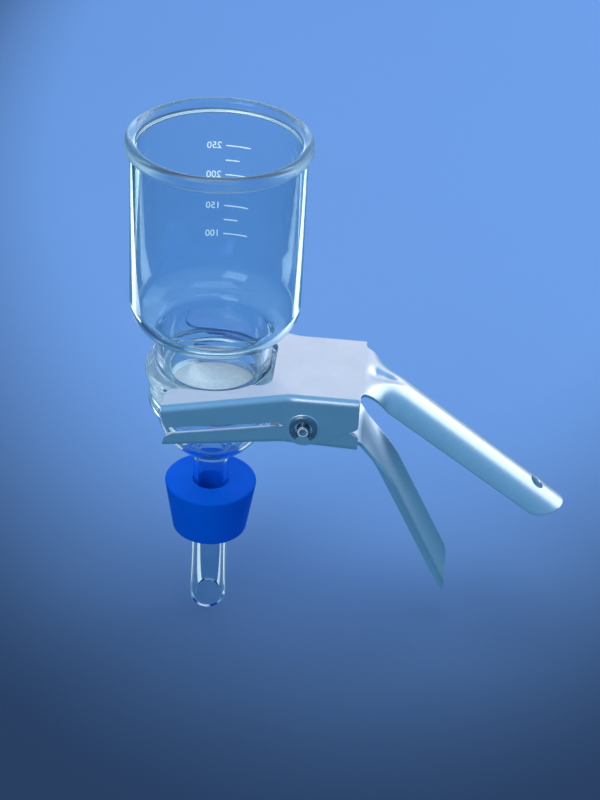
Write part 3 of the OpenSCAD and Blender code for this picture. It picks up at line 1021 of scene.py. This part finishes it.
    def holes(self):
        """The pin's bores and, where there is one, the hanging hole, as (x, s, radius)."""
        s = self.across(*self.pivot)
        holes = [(self.pivot[0], s, PIN_R + 0.05), (self.pivot[0], -s, PIN_R + 0.05)]
        if self.hang:
            holes.append((self.neck + self.length - HANG_INSET, 0.0, self.hang / 2))
        return holes

    def creases(self):
        """Lines to cut the blank along, so that it folds smoothly, as (point, normal, x from,
        x to)."""
        lines = [((x, 0), (1, 0), -PAST_ALL, PAST_ALL) for x in (self.knee, self.neck)]
        for i in range(-5, 6):
            lines.append(((self.knee + i * 0.5, 0), (1, 0), -PAST_ALL, self.neck))
        slope = math.tan(math.radians(self.flare))
        stretch = 1 / math.cos(math.radians(self.flare))
        segments = 10
        for i in range(segments + 1):
            s = self.half - BEND_R + BEND_R * QUARTER * i / segments
            wide = self.half - BEND_R * stretch + BEND_R * QUARTER * i / segments
            for side in (-1, 1):
                lines.append(((0, side * s), (0, 1), self.knee, JAW_BACK))
                lines.append(((self.knee, side * wide), (side * slope, 1), -PAST_ALL, self.knee))
        across = int(self.full_r * math.asin(GRIP_HALF / self.full_r) / STRIP) + 6
        for i in range(-across, across + 1):
            lines.append(((0, i * STRIP), (0, 1), self.neck, PAST_ALL))
        # Cuts across the handle, close where it bends and wider along its straight part.
        length = 0.5
        while length < self.length - 1:
            lines.append(((self.neck + length, 0), (1, 0), self.neck, PAST_ALL))
            length += 0.6 if length < max(self.bent, 12) else (1.5 if length < self.sink else 5.0)
        return lines

    def mesh(self, name):
        """Cuts the blank with its rounded edges, then folds it."""
        shape = bmesh.new()
        loops = [anticlockwise(self.outline())]
        for x, s, radius in self.holes():
            loops.append(arc((x, s), radius, 360, 0, 40)[:-1])
        sheet, edge = self.sheet, self.edge
        levels = []
        for i in range(4):
            a = QUARTER * i / 3
            levels.append((edge * (1 - math.sin(a)), edge * (1 - math.cos(a))))
        levels += [(inset, sheet - t) for inset, t in reversed(levels)]
        top, bottom = [], []
        for loop in loops:
            rings = [new_ring(shape, [(x, s, t) for x, s in offset(loop, inset)])
                     for inset, t in levels]
            skin(shape, rings)
            top += ring_edges(shape, rings[0])
            bottom += ring_edges(shape, rings[-1])
        for edges in (top, bottom):
            bmesh.ops.triangle_fill(shape, use_beauty=True, edges=edges)
        bmesh.ops.recalc_face_normals(shape, faces=shape.faces)
        for point, normal, low, high in self.creases():
            cut = [f for f in shape.faces if low - 1e-4 < f.calc_center_median().x < high + 1e-4]
            parts = set(cut)
            for f in cut:
                parts.update(f.edges)
                parts.update(f.verts)
            bmesh.ops.bisect_plane(shape, geom=list(parts), dist=1e-4,
                                   plane_co=(*point, 0), plane_no=(*normal, 0))
        bmesh.ops.triangulate(shape, faces=[f for f in shape.faces if len(f.verts) > 4])
        for v in shape.verts:
            v.co = self.place(self.shape(v.co)) * MM
        mesh = finished(shape, name)
        mesh.shade_smooth()
        return mesh


def anticlockwise(loop):
    area = sum(a[0] * b[1] - b[0] * a[1] for a, b in zip(loop, loop[1:] + loop[:1]))
    return loop if area > 0 else loop[::-1]


def offset(loop, inset):
    """The loop moved to its left by inset, with its corners mitred."""
    if inset < 1e-9:
        return loop
    moved = []
    for p, q, r in zip(loop[-1:] + loop[:-1], loop, loop[1:] + loop[:1]):
        p, q, r = Vector(p), Vector(q), Vector(r)
        a, b = (q - p).normalized(), (r - q).normalized()
        left = Vector((-a.y - b.y, a.x + b.x))
        left.normalize()
        reach = inset / max(0.5, left.dot(Vector((-a.y, a.x))))
        moved.append((q.x + left.x * reach, q.y + left.y * reach))
    return moved


PLATE_Z = UPPER_HIGH.z
JAW_HALF = 26.0
BOSS_R = 7.2
BOSS_H = 0.3
LOWER_TILT = math.radians(2.0)
SHEET, PLAY = 1.6, 0.3
LOWER_HALF = JAW_HALF - SHEET - PLAY
LOWER_Z = BASE_FLANGE_Z - SHEET - PLAY - PRONG_REACH * math.tan(LOWER_TILT)


def upper_jaw_blank():
    clamp = chosen("clamp")
    return Jaw(
        half=JAW_HALF, knee=35.0, flare=17.9, pivot=(HINGE_X, HINGE_Z - PLATE_Z), ear=8.6,
        front_x=2.5 - PRONG_REACH, drop=9.8, front_r=1.2, rear_drop=13.8, rear_r=2.5,
        neck=JAW_BACK, relief=0.0, root_fillet=2.5, grip_length=100.0, bend=34.5, slope=36.3,
        form=15.0, depth=8.0, sink=18.0, taper=0.7, dent=2.0, hang=6.5, handle_within=22.5,
        sheet=clamp.sheet, edge=clamp.edge, place=lambda p: p + Vector((0, 0, PLATE_Z)))


def lower_jaw_place(p):
    """From the lower jaw's own frame: turned over, tilted and set under the base's flange."""
    x, y, z = p.x, -p.y, -p.z
    return Vector((x * math.cos(LOWER_TILT) + z * math.sin(LOWER_TILT), y,
                   z * math.cos(LOWER_TILT) - x * math.sin(LOWER_TILT) + LOWER_Z))


def lower_jaw_blank():
    clamp = chosen("clamp")
    rise = HINGE_Z - LOWER_Z
    pivot = (HINGE_X * math.cos(LOWER_TILT) - rise * math.sin(LOWER_TILT),
             -HINGE_X * math.sin(LOWER_TILT) - rise * math.cos(LOWER_TILT))
    return Jaw(
        half=LOWER_HALF, knee=32.5, flare=14.1, pivot=pivot, ear=8.0,
        front_x=1.0 - PRONG_REACH, drop=6.6, front_r=3.5, rear_drop=7.7, rear_r=3.5,
        neck=57.8, relief=1.6, root_fillet=0.001, grip_length=96.0, bend=8.0, slope=-61.0,
        form=10.0, depth=6.2, sink=35.0, taper=0.0, dent=0.0, hang=0.0,
        handle_within=ROOT_HALF + 0.8,
        sheet=clamp.sheet, edge=clamp.edge, place=lower_jaw_place)


def along_y(mesh, y, flipped=False):
    """Turns a piece made along Z to lie along Y at the hinge, with its top towards -Y."""
    side = -1 if flipped else 1
    for v in mesh.vertices:
        x, yy, z = v.co
        v.co = (HINGE.x + x, y * MM - side * z, HINGE.z + side * yy)
    mesh.update()


def boss_mesh(y, flipped):
    """The shallow raised ring round the pin's bore."""
    bore = PIN_R + 0.1
    profile = clean(
        [(bore, -0.3), (bore, BOSS_H - 0.1), (bore + 0.1, BOSS_H), (BOSS_R - 0.5, BOSS_H)]
        + arc((BOSS_R - 0.5, BOSS_H - 0.3), 0.3, 90, 45, 3)
        + [(BOSS_R, -0.1), (BOSS_R, -0.3)])
    mesh = lathe("boss", profile, 72, angle=60)
    along_y(mesh, y, flipped)
    return mesh


class FILTRATION_OT_jaws(bpy.types.Operator):
    """Folds and presses the two jaws from their sheet blanks"""

    bl_idname = "filtration.jaws"
    bl_label = "Jaws"

    def execute(self, context):
        metal = metal_material("aluminium")
        upper = joined("upper_jaw_sheet", [
            upper_jaw_blank().mesh("upper"),
            boss_mesh(-JAW_HALF, False), boss_mesh(JAW_HALF, True)])
        lower = lower_jaw_blank().mesh("lower_jaw_sheet")
        for name, mesh, body, node in (
                ("upper_jaw_sheet", upper, "unit", "upper_jaw"),
                ("lower_jaw_sheet", lower, "sprung_jaw", "lower_jaw")):
            piece = add_piece(name, mesh, [metal], body, [node])
            weighted = piece.modifiers.new("Flat faces stay flat", "WEIGHTED_NORMAL")
            weighted.mode = "FACE_AREA"
            weighted.keep_sharp = True
        return {"FINISHED"}


# ---- Clamp: pin, clips and spring ----

CLIP_T = 0.9
CLIP_R = 6.0
CLIP_BORE_R = 3.9
CLIP_EDGE = 0.14
CLIP_GAP = 32.0
CLIP_LUGS = ((332, 11), (90, 14), (208, 11))
CLIP_Y = JAW_HALF + BOSS_H + 0.05
GROOVE_R = 2.1


def clip_mesh(name):
    """A flat spring clip round the pin, open downwards. Its three lugs, each an angle with half a
    width in degrees, sit in the pin's groove."""
    outer = arc((0, 0), CLIP_R, -90 + CLIP_GAP, 270 - CLIP_GAP, 72)
    inner = []
    steps = 120
    start, end = 270 - CLIP_GAP * 0.86, -90 + CLIP_GAP * 0.86
    for i in range(steps + 1):
        a = start + (end - start) * i / steps
        near = min(abs((a - lug + 180) % 360 - 180) / half for lug, half in CLIP_LUGS)
        r = GROOVE_R + 0.03 + (CLIP_BORE_R - GROOVE_R) * ease((near - 1) / 0.35)
        inner.append((r * math.cos(math.radians(a)), r * math.sin(math.radians(a))))
    loop = anticlockwise(clean(outer + inner, 0.02))
    shape = bmesh.new()
    edge, slant = CLIP_EDGE, CLIP_EDGE * 0.3
    levels = [(edge, 0), (slant, slant), (0, edge)]
    levels += [(inset, CLIP_T - t) for inset, t in reversed(levels)]
    rings = [new_ring(shape, [(x * MM, y * MM, t * MM) for x, y in offset(loop, inset)])
             for inset, t in levels]
    skin(shape, rings)
    for ring in (rings[0], rings[-1]):
        bmesh.ops.triangle_fill(shape, use_beauty=True, edges=ring_edges(shape, ring))
    mesh = finished(shape, name)
    smooth(mesh, 40)
    return mesh


def pin_profile():
    """The pin in section, from its centred end to its two grooves and back."""
    half = PIN_HIGH.y
    end = [(0, half - 0.45), (0.55, half - 0.4), (0.85, half), (PIN_R - 0.45, half)]
    end += arc((PIN_R - 0.45, half - 0.45), 0.45, 90, 0, 5)
    inner, outer = CLIP_Y - 0.05, CLIP_Y + CLIP_T + 0.05
    end += [(PIN_R, outer), (GROOVE_R, outer), (GROOVE_R, inner), (PIN_R, inner)]
    return end + [(r, -z) for r, z in reversed(end)]


class FILTRATION_OT_pivot(bpy.types.Operator):
    """Turns the pivot pin and presses its two retaining clips"""

    bl_idname = "filtration.pivot"
    bl_label = "Pivot"

    def execute(self, context):
        pin = lathe("hinge_pin", pin_profile(), 64, angle=25)
        along_y(pin, 0)
        add_piece("hinge_pin", pin, [metal_material("steel")],
                  stands_for=["pivot_pin"])
        dark = metal_material("dark_steel")
        for side, y in (("near", -CLIP_Y), ("far", CLIP_Y + CLIP_T)):
            clip = clip_mesh(side + "_clip")
            along_y(clip, y)
            add_piece(side + "_clip", clip, [dark],
                      stands_for=["retaining_clip_" + side])
        return {"FINISHED"}


SPRING_WIRE_R, SPRING_COIL_R, SPRING_LEG_X, SPRING_TURNS = 1.1, 5.0, 17.0, 6
SPRING_GAP = 0.15
DEGREES_A_STEP = 9
LEG_STEPS = 8


class FILTRATION_OT_spring(bpy.types.Operator):
    """Winds the torsion spring round the pin, with a leg on each jaw"""

    bl_idname = "filtration.spring"
    bl_label = "Spring"

    def execute(self, context):
        wire, coil, leg_x, turns = SPRING_WIRE_R, SPRING_COIL_R, SPRING_LEG_X, SPRING_TURNS
        sheet = chosen("clamp").sheet
        high = PLATE_Z - sheet - wire - 0.1 - HINGE_Z
        low = (LOWER_Z - (HINGE_X + leg_x) * math.tan(LOWER_TILT)
               + sheet + wire + SPRING_GAP - HINGE_Z)
        ends = [(leg_x, high), (leg_x, low)]
        first, last = [toward((0, 0), end) + side * math.degrees(math.acos(coil / math.hypot(*end)))
                       for end, side in zip(ends, (1, -1))]
        last += 360 * turns
        half = (2 * wire + SPRING_GAP) * (last - first) / 720
        steps = round((last - first) / DEGREES_A_STEP)
        path = []
        for i in range(steps + 1):
            a = math.radians(first + (last - first) * i / steps)
            path.append((coil * math.cos(a), -half + 2 * half * i / steps, coil * math.sin(a)))
        upper, lower = [[(x + (leg_x - x) * i / LEG_STEPS, y, z + (end_z - z) * i / LEG_STEPS)
                         for i in range(1, LEG_STEPS + 1)]
                        for (x, y, z), (_, end_z) in zip((path[0], path[-1]), ends)]
        path = upper[::-1] + path + lower
        mesh = wire_mesh("spring_wire", [Vector(p) for p in path], wire)
        for v in mesh.vertices:
            v.co = v.co * MM + HINGE
        piece = add_piece("spring_wire", mesh, [bpy.data.materials["Dark Spring Steel"]],
                          None, ["torsion_spring"])
        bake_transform(piece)
        return {"FINISHED"}


def wire_mesh(name, path, radius, around=16):
    """A round wire along a path, with domed ends."""
    stops = []
    for i, p in enumerate(path):
        way = (path[min(i + 1, len(path) - 1)] - path[max(i - 1, 0)]).normalized()
        stops.append((p, way, radius))
    dome = [(radius * 0.5 * math.sin(math.radians(lift)), radius * math.cos(math.radians(lift)))
            for lift in (60, 30)]
    (p, way, _), (q, onward, _) = stops[0], stops[-1]
    stops = ([(p - way * out, way, r) for out, r in dome] + stops
             + [(q + onward * out, onward, r) for out, r in reversed(dome)])
    shape = bmesh.new()
    rings = []
    side = Vector((0, 1, 0))
    turns = [2 * math.pi * k / around for k in range(around)]
    for p, way, r in stops:
        side = (side - way * side.dot(way)).normalized()
        up = way.cross(side)
        rings.append(new_ring(
            shape, [p + (side * math.cos(a) + up * math.sin(a)) * r for a in turns]))
    skin(shape, rings)
    shape.faces.new(rings[0][::-1])
    shape.faces.new(rings[-1])
    mesh = finished(shape, name)
    mesh.shade_smooth()
    return mesh


# ---- Stage ----


FLOOR_Z = STEM_TIP_Z * MM - 0.0002
FLOOR_REACH = 8.0
# Centre of the floor's painted pool of light.
FLOOR_MIDDLE = (0.065, 0.36, 0.0)
CARD_Z = STEM_TIP_Z * MM + 0.0005
CARD_COLOUR = (0.92, 0.97, 1.0)
LIT_POINT = (0.03, 0.0, 0.06)
SEEN_POINT = (0.0379, 0.0022, 0.0566)

# Painted reflection: the colours the floor glows with for metal alone, in front of the unit, under
# it (painted shade), behind it (painted glow) and far behind it.
PAINTED_FLOOR_REFLECTION = (0.062, 0.21, 0.40)
PAINTED_SHADE_UNDER_UNIT = (0.045, 0.15, 0.28)
PAINTED_GLOW_BEHIND = (0.55, 0.72, 0.95)
MIRRORED_BLUE = (0.16, 0.36, 0.68)
# The room as light, as metal mirrors it from low to high, above the back lamp, and through glass.
ROOM_LIGHT = (0.34, 0.40, 0.48)
MIRRORED_ROOM = ((0.08, 0.24, 0.46), (0.15, 0.42, 0.76))
MIRRORED_DARK = (0.10, 0.14, 0.22)
ROOM_THROUGH_GLASS = ((0.20, 0.42, 0.60), (0.80, 0.93, 1.0))

# Name, place, size, watts, colour, and whether metal mirrors it.
SOFTBOXES = (
    ("back_softbox", (0.2, 1.15, 0.67), (2.1, 1.02), 5.4, (0.78, 0.84, 1.0), True),
    ("top_softbox", (0.05, -0.1, 1.25), (0.8, 0.8), 4.2, (1.0, 1.0, 1.0), False),
    ("front_softbox", (-0.5, -1.1, 0.9), (0.8, 0.8), 5.0, (1.0, 1.0, 1.0), True),
    ("right_softbox", (0.92, 0.62, 0.62), (0.9, 1.05), 3.4, (0.86, 0.93, 1.0), True),
)
# Name, side, corners on the right side, and strength.
STEM_CARD = ((0.005, 0.01), (0.01, 0.01), (0.1, 0.1), (0.047, 0.1))
CARDS = (
    ("left_card", -1, ((0.18, 0.1), (0.265, 0.1), (0.265, 0.45), (0.18, 0.45)), 2.8),
    ("right_card", 1, ((0.12, 0.1), (0.21, 0.1), (0.21, 0.45), (0.12, 0.45)), 2.8),
    ("left_stem_card", -1, STEM_CARD, 1.2),
    ("right_stem_card", 1, STEM_CARD, 1.2),
)


def add_softbox(name, place, size, watts, colour, mirrored):
    """A lamp that faces the unit."""
    lamp = bpy.data.lights.new(name, "AREA")
    lamp.shape = "RECTANGLE"
    lamp.size, lamp.size_y = size
    lamp.energy = watts
    lamp.color = colour
    holder = bpy.data.objects.new(name, lamp)
    holder.location = place
    way = Vector(LIT_POINT) - Vector(place)
    holder.rotation_euler = way.to_track_quat("-Z", "Y").to_euler()
    holder.visible_glossy = mirrored
    bpy.context.scene.collection.objects.link(holder)


def add_sheet(name, corners, z, material):
    """A flat sheet of the stage."""
    mesh = bpy.data.meshes.new(name)
    mesh.from_pydata([(x, y, z) for x, y in corners], [], [(0, 1, 2, 3)])
    mesh.materials.append(material)
    sheet = bpy.data.objects.new(name, mesh)
    bpy.context.scene.collection.objects.link(sheet)
    return sheet


def add_card(name, side, corners, strength):
    """A white card on the floor for the glass's edges, which only light through glass sees."""
    material, graph, shader, output = start_material("White Card " + name)
    graph.feed(output.inputs["Surface"], graph.emission(CARD_COLOUR, strength))
    graph.tree.nodes.remove(shader)
    card = add_sheet(name, [(side * x, y) for x, y in corners], CARD_Z, material)
    for ray in ("camera", "diffuse", "glossy", "shadow", "volume_scatter"):
        setattr(card, "visible_" + ray, False)


def floor_material(colour, dusk):
    """A pale floor whose colour has a painted falloff, darker away from the unit. For metal it
    glows instead as a painted reflection: a deeper teal, with painted shade right under the unit
    and a painted glow far behind it."""
    material, graph, shader, output = start_material("Pale Floor")
    place = graph.place()
    spread = graph.add("ShaderNodeVectorMath", {
        0: graph.place((1.3, 0.6, 1.0)), 1: FLOOR_MIDDLE}, operation="DISTANCE").outputs["Value"]
    # Painted falloff: away from the unit the floor's colour darkens to the far floor colour,
    # standing in for the light falling off.
    far = graph.scaled(spread, 0.27, 0.46, curve="SMOOTHSTEP")
    drift = graph.scaled(graph.noise(place, 2.2, 2.0), 0.35, 0.65)
    pale = graph.blend(drift, colour, times(colour, 0.97))
    graph.fill(shader, {"Base Color": graph.blend(far, pale, dusk), "Roughness": 0.85,
                        "Specular IOR Level": 0.1})
    y = graph.add("ShaderNodeSeparateXYZ", {"Vector": place}).outputs["Y"]
    # Painted shade in the floor's reflection: dark just in front of and under the unit.
    under = graph.maths("MULTIPLY", graph.scaled(y, -0.12, -0.05), graph.scaled(y, 0.0, -0.04))
    near = graph.blend(under, PAINTED_FLOOR_REFLECTION, PAINTED_SHADE_UNDER_UNIT)
    # Painted glow in the floor's reflection behind the unit, turning blue far behind it.
    behind = graph.blend(graph.scaled(y, 0.8, 1.2), PAINTED_GLOW_BEHIND, MIRRORED_BLUE)
    mirrored = graph.emission(graph.blend(graph.scaled(y, 0.45, 0.62), near, behind))
    # Metal's rays see this painted reflection glowing by itself, instead of the lit floor.
    ray = graph.add("ShaderNodeLightPath").outputs
    off_metal = graph.maths("MULTIPLY", ray["Is Glossy Ray"],
                            graph.maths("SUBTRACT", 1.0, ray["Is Transmission Ray"]))
    mix = graph.add("ShaderNodeMixShader", {
        0: off_metal, 1: shader.outputs["BSDF"], 2: mirrored})
    graph.feed(output.inputs["Surface"], mix.outputs["Shader"])
    return material


def add_room():
    """The world: one plain light, another look for metal to mirror, and a third through glass."""
    world = bpy.data.worlds.new("Studio")
    bpy.context.scene.world = world
    world.use_nodes = True
    world.node_tree.nodes.clear()
    graph = Graph(world.node_tree)
    way = graph.add("ShaderNodeSeparateXYZ", {
        "Vector": graph.add("ShaderNodeTexCoord").outputs["Generated"]}).outputs
    height = graph.scaled(way["Z"], 0.0, 0.8)
    behind = graph.blend(graph.scaled(way["Z"], 0.1, 0.2), MIRRORED_BLUE, MIRRORED_DARK)
    mirrored = graph.blend(graph.scaled(way["Y"], 0.55, 0.8),
                           graph.blend(height, *MIRRORED_ROOM), behind)
    ray = graph.add("ShaderNodeLightPath").outputs
    room = graph.blend(ray["Is Glossy Ray"], ROOM_LIGHT, mirrored)
    back = graph.add("ShaderNodeBackground", {"Color": graph.blend(
        ray["Is Transmission Ray"], room, graph.blend(height, *ROOM_THROUGH_GLASS))})
    graph.add("ShaderNodeOutputWorld", {"Surface": back.outputs["Background"]})


def add_camera(stage):
    """The camera, turned round the unit, raised and rolled."""
    camera = bpy.data.cameras.new("camera")
    camera.lens = stage.lens
    camera.sensor_width = 36.0
    holder = bpy.data.objects.new("camera", camera)
    a, e, roll = stage.azimuth, stage.elevation, stage.roll
    back_way = Vector((math.sin(a) * math.cos(e), -math.cos(a) * math.cos(e), math.sin(e)))
    right = Vector((math.cos(a), math.sin(a), 0))
    up = back_way.cross(right)
    x_axis = right * math.cos(roll) + up * math.sin(roll)
    y_axis = up * math.cos(roll) - right * math.sin(roll)
    turn = Matrix((x_axis, y_axis, back_way)).transposed().to_4x4()
    holder.matrix_world = Matrix.Translation(Vector(SEEN_POINT) + back_way * stage.distance) @ turn
    bpy.context.scene.collection.objects.link(holder)
    bpy.context.scene.camera = holder


class FILTRATION_OT_stage(bpy.types.Operator):
    """Lays the floor and sets the lamps and the camera"""

    bl_idname = "filtration.stage"
    bl_label = "Stage"

    def execute(self, context):
        stage = chosen("stage")
        add_room()
        reach = FLOOR_REACH
        add_sheet("floor", [(-reach, -reach), (reach, -reach), (reach, reach), (-reach, reach)],
                  FLOOR_Z, floor_material(tuple(stage.backdrop), tuple(stage.dusk)))
        for softbox in SOFTBOXES:
            add_softbox(*softbox)
        for card in CARDS:
            add_card(*card)
        add_camera(stage)
        scene = context.scene
        scene.view_settings.view_transform = "Standard"
        scene.cycles.max_bounces = 24
        scene.cycles.glossy_bounces = 16
        scene.cycles.transmission_bounces = 24
        return {"FINISHED"}


# ---- Panel and start ----


class FILTRATION_PT_pieces(bpy.types.Panel):
    """Sizes, colours and pieces of the filtration unit"""

    bl_idname = "FILTRATION_PT_pieces"
    bl_label = "Filtration Unit"
    bl_space_type = "VIEW_3D"
    bl_region_type = "UI"
    bl_category = "Filtration"

    def draw(self, context):
        layout = self.layout
        for group in SETTINGS:
            column = layout.column()
            column.label(text=group.title())
            for name in SETTINGS[group].__annotations__:
                column.prop(chosen(group), name)
        for piece in PIECES:
            layout.operator(piece.bl_idname)


SETTINGS = {"stage": StageSettings, "glass": GlassSettings, "stopper": StopperSettings,
            "clamp": ClampSettings}
PIECES = [
    FILTRATION_OT_stage, FILTRATION_OT_funnel, FILTRATION_OT_scale, FILTRATION_OT_filter_base,
    FILTRATION_OT_stopper, FILTRATION_OT_jaws, FILTRATION_OT_pivot, FILTRATION_OT_spring,
]


def register():
    for kind in [*SETTINGS.values(), *PIECES, FILTRATION_PT_pieces]:
        bpy.utils.register_class(kind)
    for name, kind in SETTINGS.items():
        setattr(bpy.types.Scene, "filtration_" + name, PointerProperty(type=kind))


def unregister():
    for name in SETTINGS:
        delattr(bpy.types.Scene, "filtration_" + name)
    for kind in [FILTRATION_PT_pieces, *reversed(PIECES), *SETTINGS.values()]:
        bpy.utils.unregister_class(kind)


def main():
    register()
    for piece in PIECES:
        area, name = piece.bl_idname.split(".")
        getattr(getattr(bpy.ops, area), name)()


if __name__ == "__main__":
    main()
